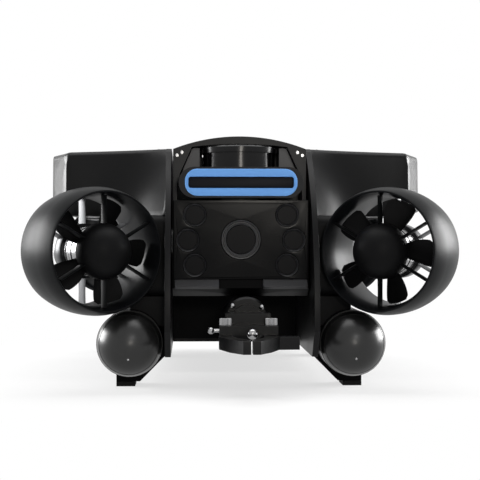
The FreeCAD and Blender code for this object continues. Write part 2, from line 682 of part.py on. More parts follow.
for end_name, end in {"front": -1, "rear": 1}.items():
    for side_name, side in SIDES.items():
        label = f"{end_name}_{side_name}"
        spot = (flip(side, "duct_x"), flip(end, "duct_y"), "duct_z")
        turn = thruster_turn(side, end)
        core = turned([("0", "core_gap"), ("tail_radius + core_gap", "core_gap"),
                       ("tail_radius + core_gap", "-duct_length - core_gap"),
                       ("0", "-duct_length - core_gap")], spot, turn)
        finish(join(make_duct(side, spot, turn), cut(make_arm(side, end), core)), f"duct_{label}")
        finish(make_guard(spot, turn), f"inlet_guard_{label}")
        finish(make_motor(spot, turn), f"motor_{label}")
        rotor = make_propeller("prop", "-prop_back", "-prop_front", "-prop_shaft_end",
                               "-prop_blade_z", spot, turn)
        finish(rotor, f"propeller_{label}")


# ---- pods, legs and feet -----------------------------------------------------------------------

def make_pod_tube(side):
    """Straight tube of a battery pod with a turned groove near each end."""
    groove = "pod_radius - ring_deep"
    inner = "pod_radius - pod_wall"
    corners = [(inner, "-pod_half"), ("pod_radius", "-pod_half"), ("pod_radius", "-ring_to"),
               (groove, "-ring_to"), (groove, "-ring_from"), ("pod_radius", "-ring_from"),
               ("pod_radius", "ring_from"), (groove, "ring_from"), (groove, "ring_to"),
               ("pod_radius", "ring_to"), ("pod_radius", "pod_half"), (inner, "pod_half")]
    return turned(corners, (flip(side, "pod_x"), "0", "pod_z"), ALONG_Y)


def make_pod_dome(side, end):
    """Domed end cap of a battery pod with a plug inside the tube."""
    face = "pod_half" if end > 0 else "-pod_half"
    spot = (flip(side, "pod_x"), face, "pod_z")
    turn = ALONG_Y if end > 0 else ALONG_Y.inverted()
    inner = "pod_radius - pod_wall"
    corners = [("0", "-plug_deep"), (inner, "-plug_deep"), (inner, "0"),
               ("pod_radius", "0", "pod_radius"),
               ("0", "pod_radius")]
    return turned(corners, spot, turn)


def make_leg(side, end):
    """Leg that holds a pod against the side plate and stands on the floor."""
    body = new_body()
    corners = [("foot_out", "foot_thick"), ("foot_out", "leg_knee_z"), ("leg_hip", "leg_hip_z"),
               ("leg_crown", "leg_top"), ("leg_in", "leg_top"), ("leg_in", "leg_knee_z"),
               ("leg_ankle", "foot_thick")]
    corners = [(flip(side, across), up) for across, up in corners]
    if side < 0:
        corners.reverse()
    pad(body, "XZ_Plane", corners, "leg_width", flip(-end, "leg_y") + " - leg_half")
    pod = rod("pod_radius", (flip(side, "pod_x"), "-pod_half", "pod_z"), "2 * pod_half", ALONG_Y)
    return cut(body, pod)


def make_foot(side, end):
    """Rubber foot under a leg."""
    return box(span(side, "foot_in", "foot_out"), span(end, "leg_y - leg_half", "leg_y + leg_half"),
               ("0", "foot_thick"))


for name, side in SIDES.items():
    finish(make_pod_tube(side), f"pod_tube_{name}")
finish(group(*[make_pod_dome(side, end) for side in (-1, 1) for end in (-1, 1)]), "pod_domes")
cells = [rod("cell_radius", (flip(side, "pod_x"), "-pod_half + plug_deep", "pod_z"),
             "2 * pod_half - 2 * plug_deep", ALONG_Y) for side in SIDES.values()]
finish(group(*cells), "battery_packs")
finish(group(*[make_leg(side, end) for side in (-1, 1) for end in (-1, 1)]), "legs")
finish(group(*[make_foot(side, end) for side in (-1, 1) for end in (-1, 1)]), "foot_pads")


# ---- tool head -----------------------------------------------------------------------------------

HEAD = ("0", "-head_y", "head_z")


def in_head(across, depth, up):
    """A spot given from the middle of the tilt axis."""
    return (across, f"{depth} - head_y", f"{up} + head_z")


def head_box(x_range, y_range, z_range):
    """A box given from the tilt axis."""
    return box(x_range, [f"{text} - head_y" for text in y_range],
               [f"{text} + head_z" for text in z_range])


def head_rod(radius, across, up, front, back):
    """A cylinder along Y between two depths in front of the tilt axis."""
    return rod(radius, in_head(across, flip(-1, front), up), f"{front} {flip(-1, back)}", ALONG_Y)


def head_pad(role, corners, length, height="0", both_ways=False):
    """A body drawn from the tilt axis."""
    body = new_body()
    pad(body, role, corners, length, height, both_ways)
    return place(body, HEAD)


LAMPS = [(flip(side, across), up) for side in SIDES.values() for across, up in
         (("lamp_near", "lamp_high"), ("lamp_far", "lamp_mid"), ("lamp_near", "-lamp_low"))]


def make_head_housing():
    """Housing of the tool head, with bays for the camera, the lamps, the tilt motor and the can."""
    corners = [("-face_depth", "face_top"), ("-face_depth", "-chin_edge"),
               ("-chin_front", "-chin_low"), ("chin_back", "-chin_low"),
               ("head_back", "-back_half"), ("head_back", "back_half"), ("crown_back", "face_top")]
    housing = head_pad("YZ_Plane", corners, "2 * head_half", both_ways=True)
    bays = [head_rod("lamp_well", across, up, "face_depth", "bay_depth") for across, up in LAMPS]
    bays.append(head_rod("camera_well", "0", "camera_z", "face_depth", "bay_depth"))
    bays.append(head_rod("camera_glass", "0", "camera_z", "bay_depth", "camera_back"))
    bays.append(rod("tilt_motor_radius", in_head("tilt_motor_in", "0", "0"),
                    "head_half - tilt_motor_in", ALONG_X))
    bays.append(head_rod("can_radius", "grip_x", "-grip_z", "can_front", "can_back"))
    return cut(housing, *bays)


def make_face_panel():
    """Front panel with a hole over each lamp and over the camera."""
    panel = head_box(("-face_half", "face_half"), ("-face_depth - face_thick", "-face_depth"),
                     ("-face_low", "face_top"))
    front = "face_depth + face_thick"
    holes = [head_rod("lamp_well", across, up, front, "face_depth") for across, up in LAMPS]
    return cut(panel, head_rod("camera_well", "0", "camera_z", front, "face_depth"), *holes)


def make_lamp_cups():
    """Cups around the lamp lenses."""
    cups = []
    for across, up in LAMPS:
        cup = head_rod("lamp_well", across, up, "lamp_lip", "bay_depth")
        cups.append(cut(cup, head_rod("lamp_radius", across, up, "lamp_lip", "bay_depth")))
    return group(*cups)


def make_camera_bezel():
    """Stepped ring that holds the camera window."""
    corners = [("camera_glass", "bay_depth"), ("camera_well", "bay_depth"),
               ("camera_well", "bezel_step"), ("bezel_chamfer", "bezel_lip"),
               ("bezel_inner", "bezel_lip"), ("camera_glass", "bezel_step")]
    return turned(corners, in_head("0", "0", "camera_z"), ALONG_Y.inverted())


def make_chin_bumpers():
    """Two ledges below the face panel, one on each side of the gripper."""
    corners = [("-face_depth", "-bumper_top"), ("-face_depth - face_thick", "-bumper_top"),
               ("-bumper_front", "-bumper_bend"), ("-bumper_edge", "-bumper_low"),
               ("-face_depth", "-bumper_bend")]
    bars = []
    for side in SIDES.values():
        low = "bumper_in" if side > 0 else "-bumper_out"
        bars.append(head_pad("YZ_Plane", corners, "bumper_out - bumper_in", low))
    return group(*bars)


def stadium(half, radius, length, height):
    """A bar with round ends, across the head at the height of the sonar's window."""
    low = f"sonar_z - {radius}"
    high = f"sonar_z + {radius}"
    corners = [(f"-{half}", low), (half, low, radius), (half, high), (f"-{half}", high, radius)]
    return head_pad("XZ_Plane", corners, length, height)


def make_sonar_body():
    """Round sonar body under a flanged lid, with a neck to the window block."""
    corners = [("0", "face_top"), ("puck_radius", "face_top"), ("puck_radius", "puck_top"),
               ("lid_radius", "puck_top"), ("lid_radius", "lid_edge"), ("lid_bevel", "lid_top"),
               ("0", "lid_top")]
    puck = turned(corners, in_head("0", "-puck_y", "0"))
    neck = head_box(("-neck_half", "neck_half"), ("-bezel_back", "-puck_y"),
                    ("neck_low", "neck_high"))
    return join(puck, neck)


def make_sonar_hood():
    """Arched guard over the sonar, with a web behind each cheek."""
    corners = [("-hood_half", "face_top"), ("-cheek", "face_top"), ("-cheek", "cheek_top"),
               ("-cheek_bend", "cheek_bend_z"), ("-hood_in_half", "hood_in_side", "-hood_in_bow"),
               ("hood_in_half", "hood_in_side"), ("cheek_bend", "cheek_bend_z"),
               ("cheek", "cheek_top"), ("cheek", "face_top"), ("hood_half", "face_top"),
               ("hood_half", "hood_side", "hood_bow"), ("-hood_half", "hood_side")]
    pieces = [head_pad("XZ_Plane", corners, "2 * hood_depth", both_ways=True)]
    for side in SIDES.values():
        web = [("web_in", "face_top"), ("web_out", "face_top"), ("web_out", "web_low"),
               ("web_in", "web_high")]
        pieces.append(head_pad("XZ_Plane", mirrored(side, web), "web_thick", "-web_depth - web_thick"))
    return join(*pieces)


def make_pivot_shafts():
    """Stub shafts that carry the head in the bearings of the side plates."""
    right = rod("pivot_radius", in_head("head_half", "0", "0"), "pivot_end - head_half", ALONG_X)
    left = rod("pivot_radius", in_head("-pivot_end", "0", "0"), "pivot_end - head_half", ALONG_X)
    return group(left, right)


finish(make_head_housing(), "head_housing")
finish(make_face_panel(), "face_panel")
finish(make_lamp_cups(), "lamp_cups")
lenses = [head_rod("lamp_radius", across, up, "lamp_face", "bay_depth") for across, up in LAMPS]
finish(group(*lenses), "lamp_lenses")
finish(make_camera_bezel(), "camera_bezel")
finish(head_rod("camera_glass", "0", "camera_z", "face_depth + face_thick", "face_depth"),
       "camera_window")
finish(head_rod("camera_glass", "0", "camera_z", "bay_depth", "camera_back"), "camera_module")
finish(make_chin_bumpers(), "chin_bumpers")
tilt_motor = rod("tilt_motor_radius", in_head("tilt_motor_in", "0", "0"),
                 "head_half - tilt_motor_in", ALONG_X)
finish(tilt_motor, "tilt_motor")
finish(make_pivot_shafts(), "pivot_shafts")
finish(make_sonar_body(), "sonar_body")
bezel = stadium("bezel_half", "bezel_radius", "bezel_front - bezel_back", "bezel_back")
well = stadium("blue_half", "blue_radius", "bezel_front - ring_back", "ring_back")
finish(cut(bezel, well), "sonar_bezel")
ring = stadium("blue_half", "blue_radius", "ring_front - ring_back", "ring_back")
finish(cut(ring, stadium("slot_half", "slot_radius", "ring_front - ring_back", "ring_back")),
       "sonar_ring")
finish(stadium("slot_half", "slot_radius", "window_face - ring_back", "ring_back"),
       "sonar_window")
finish(make_sonar_hood(), "sonar_hood")


# ---- gripper ---------------------------------------------------------------------------------------

def in_grip(across, depth, up):
    """A spot given from the gripper's own middle line."""
    return in_head(f"{across} + grip_x", depth, f"{up} - grip_z")


def grip_box(x_range, y_range, z_range):
    """A box given from the gripper's own middle line."""
    return head_box([f"{text} + grip_x" for text in x_range], y_range,
                    [f"{text} - grip_z" for text in z_range])


def make_gripper_wrist():
    """Turning wrist: a disc with a stub shaft in the can, the yoke block and the crossbar."""
    disc = turned([("0", "stub_back"), ("stub_radius", "stub_back"), ("stub_radius", "wrist_back"),
                   ("wrist_radius", "wrist_back"), ("wrist_radius", "wrist_front"),
                   ("0", "wrist_front")], in_grip("0", "0", "0"), ALONG_Y.inverted())
    block = grip_box(("-block_half", "block_half"), ("-block_front", "-wrist_front"),
                     ("-bar_top", "block_top"))
    bar = grip_box(("-bar_half", "bar_half"), ("-bar_front", "-bar_back"),
                   ("-bar_low", "-bar_top"))
    pins = [rod("pin_radius", in_grip(flip(side, "pin_x"), "-pin_y", "-bar_low"),
                "bar_low - bar_top") for side in SIDES.values()]
    return cut(join(disc, block, bar), *pins)


def make_gripper_can():
    """Motor can of the gripper, with a bore for the wrist's stub shaft."""
    return turned([("0", "can_back"), ("can_radius", "can_back"),
                   ("can_radius", "can_front - can_bevel"), ("can_radius - can_bevel", "can_front"),
                   ("stub_radius + run_gap", "can_front"), ("stub_radius + run_gap", "stub_floor"),
                   ("0", "stub_floor")], in_grip("0", "0", "0"), ALONG_Y.inverted())


def make_grip_pins():
    """Jaw pins with knurled knobs, and the two ball studs on the crossbar."""
    pieces = []
    for side in SIDES.values():
        low = in_grip(flip(side, "pin_x"), "-pin_y", "-jaw_low")
        pin = rod("pin_radius", low, "jaw_low - bar_top")
        knob = rod("knob_radius", in_grip(flip(side, "pin_x"), "-pin_y", "-bar_top"),
                   "bar_top + knob_top")
        pieces.append(join(pin, knob))
    stud = rod("pin_radius", in_grip("stud_x", "-stud_reach", "-stud_z"),
               "stud_reach - bar_front", ALONG_Y)
    pieces.append(join(stud, ball("stud_ball", in_grip("stud_x", "-stud_reach", "-stud_z"))))
    side_stud = rod("side_stud", in_grip("-side_reach", "-pin_y", "-side_stud_z"),
                    "side_reach - bar_half", ALONG_X)
    side_ball = ball("side_ball", in_grip("-side_reach", "-pin_y", "-side_stud_z"), HALF_TURN)
    pieces.append(join(side_stud, side_ball))
    return group(*pieces)


def make_jaw(side):
    """Jaw that swings about its pin; the right one has a hooked heel."""
    heel = [("pin_x + jaw_boss", "-pin_y - 18")]
    if side > 0:
        heel = [("pin_x + jaw_boss", "-hook_root"), ("hook_out - 2", "-hook_back"),
                ("hook_out", "-hook_front"), ("pin_x + jaw_boss", "-hook_end")]
    corners = [("jaw_gap", "-jaw_tip"), ("jaw_gap", "-jaw_flat"), ("jaw_bow", "-jaw_bend"),
               ("pin_x - jaw_boss", "-jaw_heel"), ("pin_x - jaw_boss", "-pin_y", "-jaw_boss"),
               ("pin_x + jaw_boss", "-pin_y"), *heel, ("jaw_out", "-jaw_out_y"),
               ("jaw_point", "-jaw_tip")]
    body = new_body()
    sketch = outline(new_sketch(body, "XY_Plane", "-jaw_low"), mirrored(side, corners))
    feature(body, "Pad", sketch, Length="jaw_low - jaw_top")
    place(body, in_grip("0", "0", "0"))
    pin = rod("pin_radius + run_gap", in_grip(flip(side, "pin_x"), "-pin_y", "-jaw_low"),
              "jaw_low - jaw_top")
    return cut(body, pin)


def make_head_screws():
    """Ball-headed screws on the gripper can and cap screws on the cheeks of the hood."""
    pieces = []
    for degrees in (40, 135, 215, 320):
        across = f"{math.cos(math.radians(degrees)):.4f} * screw_ring"
        up = f"{math.sin(math.radians(degrees)):.4f} * screw_ring"
        pieces.append(ball("screw_ball", in_grip(across, "-screw_depth", up)))
    for side in SIDES.values():
        for across, up in (("cap_near_x", "cap_near_z"), ("cap_far_x", "cap_far_z")):
            spot = in_head(flip(side, across), "-hood_depth - cap_screw_tall", up)
            pieces.append(rod("cap_screw", spot, "cap_screw_tall", ALONG_Y))
    return group(*pieces)


finish(make_gripper_can(), "gripper_can")
finish(make_gripper_wrist(), "gripper_wrist")
finish(make_grip_pins(), "gripper_pins")
for name, side in SIDES.items():
    finish(make_jaw(side), f"jaw_{name}")
finish(make_head_screws(), "head_screws")


# ---- checks and export -----------------------------------------------------------------------

doc.recompute()
for thing in doc.Objects:
    if "Invalid" in thing.State or "Error" in thing.State:
        raise RuntimeError(f"{thing.Name} did not build: {thing.State}")
for thing in PARTS:
    if thing.Shape.isNull() or not thing.Shape.isValid():
        raise RuntimeError(f"{thing.Label} has no valid shape")

os.makedirs("parts", exist_ok=True)
for thing in PARTS:
    thing.Shape.exportStep(f"parts/{thing.Label}.step")
    print(thing.Label, len(thing.Shape.Solids), round(thing.Shape.Volume))
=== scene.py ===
import json
import math

import bmesh
import bpy
from mathutils import Matrix, Vector


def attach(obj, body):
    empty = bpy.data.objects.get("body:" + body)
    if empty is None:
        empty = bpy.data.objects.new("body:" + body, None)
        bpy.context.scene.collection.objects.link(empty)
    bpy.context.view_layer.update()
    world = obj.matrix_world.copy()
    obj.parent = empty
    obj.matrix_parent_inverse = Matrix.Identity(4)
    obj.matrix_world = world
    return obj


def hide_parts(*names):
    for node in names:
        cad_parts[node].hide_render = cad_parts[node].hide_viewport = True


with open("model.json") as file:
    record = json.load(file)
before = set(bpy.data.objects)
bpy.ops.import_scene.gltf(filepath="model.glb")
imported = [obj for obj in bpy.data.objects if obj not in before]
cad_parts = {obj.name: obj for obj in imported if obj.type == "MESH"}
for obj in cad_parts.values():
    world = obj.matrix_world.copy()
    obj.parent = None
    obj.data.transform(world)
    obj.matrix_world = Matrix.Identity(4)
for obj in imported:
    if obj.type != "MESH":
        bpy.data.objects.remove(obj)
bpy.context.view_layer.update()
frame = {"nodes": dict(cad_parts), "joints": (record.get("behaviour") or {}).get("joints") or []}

# The looks of an inspection vehicle for work under water. +Z is up and the front faces -Y.
# The scene is in metres. Shapes are worked out in millimetres and scaled by MM.
# A part is a pair of points and faces.

NODES = frame["nodes"]
MM = 0.001
SIDES = ((-1, "left"), (1, "right"))
ENDS = ((-1, "front"), (1, "rear"))


# ---- materials -------------------------------------------------------------------------------

GRAIN_HEIGHT = 0.4 * MM
MOTTLE_SCALE = 18.0
LEAST_ROUGHNESS = 0.02


def linear(grey):
    """Linear value of an sRGB level from 0 to 255."""
    part = grey / 255
    return part / 12.92 if part <= 0.04045 else ((part + 0.055) / 1.055) ** 2.4


def rgb(red, green, blue):
    """Linear colour of three sRGB levels."""
    return (linear(red), linear(green), linear(blue), 1.0)


def surface(name, colour, rough, metallic=0.0, grain=0.0, grain_scale=900.0, mottle=0.1,
            rough_swing=0.06, brushed=None, shine=0.3):
    """A finish with fine grain in its bump and slow changes in its colour and roughness."""
    material = bpy.data.materials.new(name)
    material.use_nodes = True
    nodes = material.node_tree.nodes
    link = material.node_tree.links.new
    shader = nodes["Principled BSDF"]
    shader.inputs["Metallic"].default_value = metallic
    shader.inputs["Specular IOR Level"].default_value = shine
    place = nodes.new("ShaderNodeTexCoord").outputs["Object"]

    slow = nodes.new("ShaderNodeTexNoise")
    slow.inputs["Scale"].default_value = MOTTLE_SCALE
    slow.inputs["Detail"].default_value = 4.0
    link(place, slow.inputs["Vector"])

    tint = nodes.new("ShaderNodeMix")
    tint.data_type = "RGBA"
    dark = tuple(part * (1.0 - mottle) for part in colour[:3]) + (1.0,)
    light = tuple(min(part * (1.0 + mottle), 1.0) for part in colour[:3]) + (1.0,)
    tint.inputs["A"].default_value = dark
    tint.inputs["B"].default_value = light
    link(slow.outputs["Fac"], tint.inputs["Factor"])
    link(tint.outputs["Result"], shader.inputs["Base Color"])

    swing = nodes.new("ShaderNodeMapRange")
    swing.inputs["To Min"].default_value = max(rough - rough_swing, LEAST_ROUGHNESS)
    swing.inputs["To Max"].default_value = rough + rough_swing
    link(slow.outputs["Fac"], swing.inputs["Value"])
    link(swing.outputs["Result"], shader.inputs["Roughness"])

    if grain:
        fine = nodes.new("ShaderNodeTexNoise")
        fine.inputs["Scale"].default_value = grain_scale
        fine.inputs["Detail"].default_value = 2.0
        if brushed:
            stretch = nodes.new("ShaderNodeMapping")
            stretch.inputs["Scale"].default_value = brushed
            link(place, stretch.inputs["Vector"])
            place = stretch.outputs["Vector"]
        link(place, fine.inputs["Vector"])
        bump = nodes.new("ShaderNodeBump")
        bump.inputs["Strength"].default_value = grain
        bump.inputs["Distance"].default_value = GRAIN_HEIGHT
        link(fine.outputs["Fac"], bump.inputs["Height"])
        link(bump.outputs["Normal"], shader.inputs["Normal"])
    return material


SHELL = surface("shell_satin_black", rgb(20, 20, 21), 0.42, grain=0.12, mottle=0.12, shine=0.12)
PLATE = surface("plate_satin_black", rgb(13, 13, 14), 0.36, grain=0.1, shine=0.1)
PANEL = surface("panel_matte_black", rgb(6, 6, 7), 0.4, grain=0.1, mottle=0.14, shine=0.03)
FACE = surface("face_satin_black", rgb(5, 5, 6), 0.17, grain=0.04, mottle=0.14, rough_swing=0.03,
               shine=0.06)
HOOD = surface("hood_satin_black", rgb(16, 16, 17), 0.36, grain=0.08, shine=0.16)
WING = surface("wing_satin_black", rgb(11, 11, 12), 0.34, grain=0.08, shine=0.14)
# Darker colour on the faces inside each duct: painted shade in the bore.
BORE_SHADE = surface("duct_bore_painted_shade", rgb(13, 14, 16), 0.36, grain=0.1, shine=0.06)
VANE = surface("vane_grey", rgb(60, 61, 63), 0.35, metallic=0.5, grain=0.05, mottle=0.08)
RING = surface("ring_dark_grey", rgb(40, 40, 42), 0.3, grain=0.05, mottle=0.08)
# Grey of the hood's cheek sheets: partly their own grey and partly painted light, raised so that faces in
# shade still read grey.
LINER_PAINTED_LIGHT = surface("liner_grey_painted_light", rgb(78, 78, 80), 0.4, grain=0.1, mottle=0.08)
DUCT = surface("duct_dark_grey", rgb(17, 18, 19), 0.38, grain=0.08, mottle=0.08, shine=0.04)
NOSE = surface("nose_matte_black", rgb(11, 11, 12), 0.48, grain=0.15, shine=0.07)
GLOSS = surface("gloss_black", rgb(10, 10, 11), 0.2, rough_swing=0.03, shine=0.2)
POD = surface("pod_grey_metal", rgb(32, 32, 32), 0.31, metallic=0.35, grain=0.04, mottle=0.14,
              shine=0.5)
STEEL = surface("turned_steel", rgb(146, 146, 147), 0.26, metallic=1.0, grain=0.02,
                grain_scale=260.0, brushed=(1.0, 10.0, 1.0), mottle=0.05)
ANODISED = surface("black_anodised", rgb(11, 11, 12), 0.3, grain=0.06, shine=0.14)
BLUE = surface("sonar_blue", rgb(114, 172, 242), 0.5, grain=0.08, mottle=0.03, shine=0.2)
BEZEL = surface("bezel_dark_grey", rgb(14, 14, 17), 0.4, grain=0.1, mottle=0.08, shine=0.14)
LENS = surface("lens_dark_glass", rgb(9, 9, 11), 0.3, rough_swing=0.02, shine=0.05)
SONAR_FACE = surface("sonar_face", rgb(14, 14, 17), 0.5, grain=0.2, shine=0.12)
RUBBER = surface("rubber_black", rgb(16, 16, 16), 0.75, grain=0.5, shine=0.15)
BUMPER = surface("bumper_grey", rgb(44, 44, 46), 0.45, grain=0.2)
FOAM = surface("foam_buff", rgb(60, 58, 52), 0.85, grain=0.8, mottle=0.15, shine=0.1)
BRONZE = surface("bearing_bronze", rgb(150, 120, 72), 0.35, metallic=0.9, grain=0.1)

# The finish of each CAD node, by the start of its name.
FINISH = {
    "side_plate": PLATE, "front_bulkhead": PANEL, "belly_pan": PLATE, "top_cowl": SHELL,
    "tail_cover": SHELL, "tether_connector": ANODISED, "lifting_eye": STEEL,
    "electronics_hull": ANODISED, "foam_blocks": FOAM, "wing_shell": SHELL,
    "lift_tunnels": NOSE, "lift_motors": ANODISED, "lift_propeller": NOSE, "pod_tube": POD,
    "pod_domes": POD, "battery_packs": ANODISED, "legs": PANEL, "foot_pads": RUBBER,
    "duct": DUCT, "inlet_guard": NOSE, "motor": STEEL, "propeller": NOSE,
    "pivot_bearings": BRONZE, "head_housing": PANEL, "face_panel": FACE, "lamp_cups": NOSE,
    "lamp_lenses": LENS, "camera_bezel": ANODISED, "camera_window": LENS,
    "camera_module": GLOSS, "chin_bumpers": BUMPER, "tilt_motor": ANODISED,
    "pivot_shafts": STEEL, "sonar_body": GLOSS, "sonar_bezel": BEZEL, "sonar_ring": BLUE,
    "sonar_window": SONAR_FACE, "sonar_hood": HOOD, "gripper_can": ANODISED,
    "gripper_wrist": ANODISED, "gripper_pins": STEEL, "jaw": ANODISED, "head_screws": STEEL,
}


def finish_of(node):
    """The finish under the longest key that a node's name starts with."""
    return FINISH[max((key for key in FINISH if node.startswith(key)), key=len)]


# ---- edges and shading -------------------------------------------------------------------------

WELD_DISTANCE = 0.01 * MM
CAD_EDGE_ANGLE = 32
FLATNESS = 80


def add_weld(thing):
    """Join the corners that the faces of a CAD mesh share."""
    weld = thing.modifiers.new("weld", "WELD")
    weld.merge_threshold = WELD_DISTANCE


def soften(thing, width=0.5 * MM, segments=2, angle=40, harden=True):
    """Round the edges of a piece that are sharper than an angle in degrees."""
    bevel = thing.modifiers.new("bevel", "BEVEL")
    bevel.width = width
    bevel.segments = segments
    bevel.limit_method = "ANGLE"
    bevel.angle_limit = math.radians(angle)
    bevel.harden_normals = harden


def dress(node):
    """Give a CAD node its finish, a small rounding on its sharp edges and smooth shading."""
    thing = NODES[node]
    thing.data.materials.clear()
    thing.data.materials.append(finish_of(node))
    for polygon in thing.data.polygons:
        polygon.use_smooth = True
        polygon.material_index = 0
    add_weld(thing)
    soften(thing, angle=CAD_EDGE_ANGLE, harden=False)
    flat = thing.modifiers.new("normals", "WEIGHTED_NORMAL")
    flat.mode = "FACE_AREA"
    flat.weight = FLATNESS


for node_name in sorted(NODES):
    dress(node_name)


# ---- mesh helpers ------------------------------------------------------------------------------

FOIL_STEPS = 9
FOIL_CREST = 0.72
FOIL_ROUNDNESS = 0.7
FOIL_EDGE = 0.02


def new_piece(name, part, body, finish, replaced=(), sharp=40):
    """A mesh piece that rides on a body and may stand for CAD nodes."""
    points, faces = part
    mesh = bpy.data.meshes.new(name)
    mesh.from_pydata([tuple(point) for point in points], [], faces)
    shape = bmesh.new()
    shape.from_mesh(mesh)
    bmesh.ops.remove_doubles(shape, verts=shape.verts, dist=1e-7)
    bmesh.ops.recalc_face_normals(shape, faces=shape.faces)
    shape.to_mesh(mesh)
    shape.free()
    mesh.materials.append(finish)
    thing = bpy.data.objects.new(name, mesh)
    bpy.context.scene.collection.objects.link(thing)
    mesh.shade_smooth()
    mesh.set_sharp_from_angle(angle=math.radians(sharp))
    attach(thing, body)
    if replaced:
        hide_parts(*replaced)
    return thing


def bow(start, end, radius, count=10):
    """Points on the short arc from start to end: centre on the left for a positive radius."""
    first = Vector(start)
    last = Vector(end)
    chord = last - first
    rise = math.sqrt(max(radius * radius - chord.length_squared / 4, 0.0))
    left = Vector((-chord.y, chord.x)).normalized()
    centre = (first + last) / 2 + left * math.copysign(rise, radius)
    angle_a = math.atan2(first.y - centre.y, first.x - centre.x)
    angle_b = math.atan2(last.y - centre.y, last.x - centre.x)
    turn = (angle_b - angle_a + math.pi) % (2 * math.pi) - math.pi
    steps = [angle_a + turn * index / count for index in range(count + 1)]
    return [(centre.x + abs(radius) * math.cos(a), centre.y + abs(radius) * math.sin(a))
            for a in steps]


def lathe(profile, steps=96, closed=False):
    """A profile of (radius, height) in mm turned about the Z axis."""
    points = []
    for index in range(steps):
        angle = 2 * math.pi * index / steps
        for radius, height in profile:
            points.append(Vector((radius * math.cos(angle), radius * math.sin(angle), height)) * MM)
    rows = len(profile)
    last = rows if closed else rows - 1
    faces = []
    for index in range(steps):
        here = index * rows
        there = (index + 1) % steps * rows
        for row in range(last):
            after = (row + 1) % rows
            faces.append((here + row, here + after, there + after, there + row))
    return points, faces


def moved(part, matrix):
    """A part under a matrix."""
    points, faces = part
    return [matrix @ Vector(point) for point in points], faces


def merged(parts):
    """Several parts as one."""
    points = []
    faces = []
    for some_points, some_faces in parts:
        base = len(points)
        points.extend(some_points)
        faces.extend(tuple(base + index for index in face) for face in some_faces)
    return points, faces


def spun(part, count):
    """Copies of a part about the Z axis."""
    return merged([moved(part, Matrix.Rotation(2 * math.pi * index / count, 4, "Z"))
                   for index in range(count)])


def loft(sections, closed_ends=True):
    """Skin over rings with the same number of points."""
    count = len(sections[0])
    points = [point for ring in sections for point in ring]
    faces = []
    for row in range(len(sections) - 1):
        for index in range(count):
            after = (index + 1) % count
            a = row * count + index
            b = row * count + after
            faces.append((a, b, b + count, a + count))
    if closed_ends:
        faces.append(tuple(reversed(range(count))))
        top = (len(sections) - 1) * count
        faces.append(tuple(range(top, top + count)))
    return points, faces


def foil(chord, thick):
    """A closed rounded blade section about its middle: x along the chord, y across."""
    upper = []
    for index in range(FOIL_STEPS + 1):
        at = index / FOIL_STEPS
        wide = 0.0
        if 0 < index < FOIL_STEPS:
            wide = thick / 2 * math.sin(math.pi * at ** FOIL_CREST) ** FOIL_ROUNDNESS
        upper.append((chord * (at - 0.5), max(wide, FOIL_EDGE * thick)))
    lower = [(x, -y) for x, y in reversed(upper)]
    return upper + lower


# ---- toed thrusters ------------------------------------------------------------------------------

# A thruster is made about the Z axis with its mouth at 0: radii, and depths behind the mouth.
RIM, BORE, THROAT, WAIST, LENGTH = 59.2, 57.2, 53.5, 28.0, 75.0
DUCT_MAX, TAIL, TAIL_BORE, LIP_BOW, BACK_BOW = 63.4, 59.0, 56.0, 90.0, 190.0
NOSE_RADIUS, NOSE_BACK, GUARD_BACK, GUARD_ROOT = 27.6, 11.5, 15.0, 24.5
GUARD_CHORD, GUARD_THICK, GUARD_MIDDLE, GUARD_SUNK = 12.6, 3.0, 8.6, 1.2
MOTOR_RADIUS, MOTOR_FRONT, MOTOR_BACK = 24.5, 33.0, 74.0
MOTOR_TAIL = [(0.0, -84.0), (11.0, -84.0), (12.5, -83.2), (20.0, -80.0)]
MOTOR_GROOVES = ((62.0, 60.0, 0.9, 0.4), (45.2, 42.0, 1.6, 0.2), (38.4, 37.2, 0.7, 0.2))
MOTOR_BOLT, MOTOR_BOLT_HEIGHT, MOTOR_BOLT_RING = 1.9, 0.7, 21.0
SOCKET, SOCKET_GAP, STATOR_FRONT, STATOR_BACK, STATOR_THICK, STATOR_SUNK = 27.5, 0.1, 50.0, 66.0, 3.4, 0.5
VANES, VANE_WAIST = 6, 0.92
PROP_RADIUS, PROP_TIP, PROP_FRONT, PROP_BACK = 24.0, 52.3, 16.5, 32.0
BLADES, BLADE_STEPS, BLADE_CHORD, BLADE_PITCH, BLADE_SET, BLADE_WASHOUT = 5, 10, 29.0, 27, 4, 0.32
BLADE_ROOT_SHARE, BLADE_SWELL, BLADE_TAPER, BLADE_TIP_SHARE = 0.6, 0.75, 0.37, 0.8
BLADE_SWEEP, BLADE_THICK, BLADE_THINNING = 3.0, 2.6, 1.3
EDGE, WIDE_EDGE = 0.6, 0.8
BOLT_DOME, BOLT_SUNK, BOLT_STEPS = 1.25, 0.4, 16
# How far a face must turn towards the duct's axis to get the painted shade of the bore.
BORE_SHADE_SLOPE = -0.2

# The bracket from a side plate to a duct: distances out, along and up.
PLATE_OUT = 76.0
ARM_OUT, ARM_NEAR, ARM_FAR, ARM_LOW, ARM_HIGH = 124, 196, 226, 94, 176
ARM_CORNER, ARM_CORNER_STEPS, ARM_ROWS, ARM_SUNK, ARM_STEP = 11, 8, 10, 0.8, 0.25


